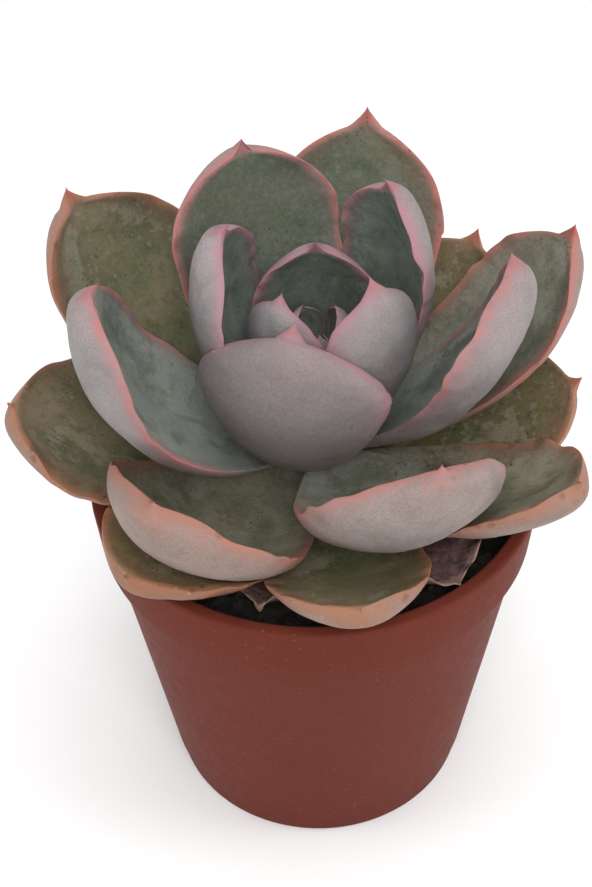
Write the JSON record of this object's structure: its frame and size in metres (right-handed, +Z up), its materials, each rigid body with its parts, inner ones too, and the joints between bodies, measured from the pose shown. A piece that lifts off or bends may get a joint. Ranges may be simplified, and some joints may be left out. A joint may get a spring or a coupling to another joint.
{
  "type": "potted succulent",
  "caption": "Small rosette succulent with thick cupped leaves, growing in dark potting mix in a round tapered plastic nursery pot with a banded rim.",
  "frame": {"origin": "centre of the pot's flat underside, on the pot's axis", "axes": "+Z up along the pot's axis, -Y towards the front"},
  "size_m": [0.108, 0.1011, 0.129],
  "materials": {
    "pot": "matte, lightly scuffed and dusty",
    "potting_mix": "loose, damp and granular",
    "stem": "matte",
    "young_leaf": "waxy bloom, matte",
    "old_leaf": "satin with rubbed waxy bloom",
    "dry_leaf": "dry and papery"
  },
  "bodies": {
    "root": {"pot": "pot", "soil": "potting_mix", "stem": "stem", "leaf_01": "young_leaf", "leaf_02": "young_leaf", "leaf_03": "young_leaf", "leaf_04": "young_leaf", "leaf_05": "young_leaf", "leaf_06": "young_leaf", "leaf_07": "young_leaf", "leaf_08": "young_leaf", "leaf_09": "young_leaf", "leaf_10": "young_leaf", "leaf_11": "young_leaf", "leaf_12": "young_leaf", "leaf_13": "young_leaf", "leaf_14": "old_leaf", "leaf_15": "old_leaf", "leaf_16": "old_leaf", "leaf_17": "old_leaf", "leaf_18": "old_leaf", "leaf_19": "old_leaf", "leaf_20": "old_leaf", "leaf_21": "old_leaf", "leaf_22": "old_leaf", "leaf_23": "old_leaf", "leaf_24": "old_leaf", "leaf_25": "old_leaf", "leaf_26": "old_leaf", "leaf_27": "old_leaf", "leaf_28": "old_leaf", "leaf_29": "old_leaf", "dry_leaf_1": "dry_leaf", "dry_leaf_2": "dry_leaf"}
  },
  "joints": []
}
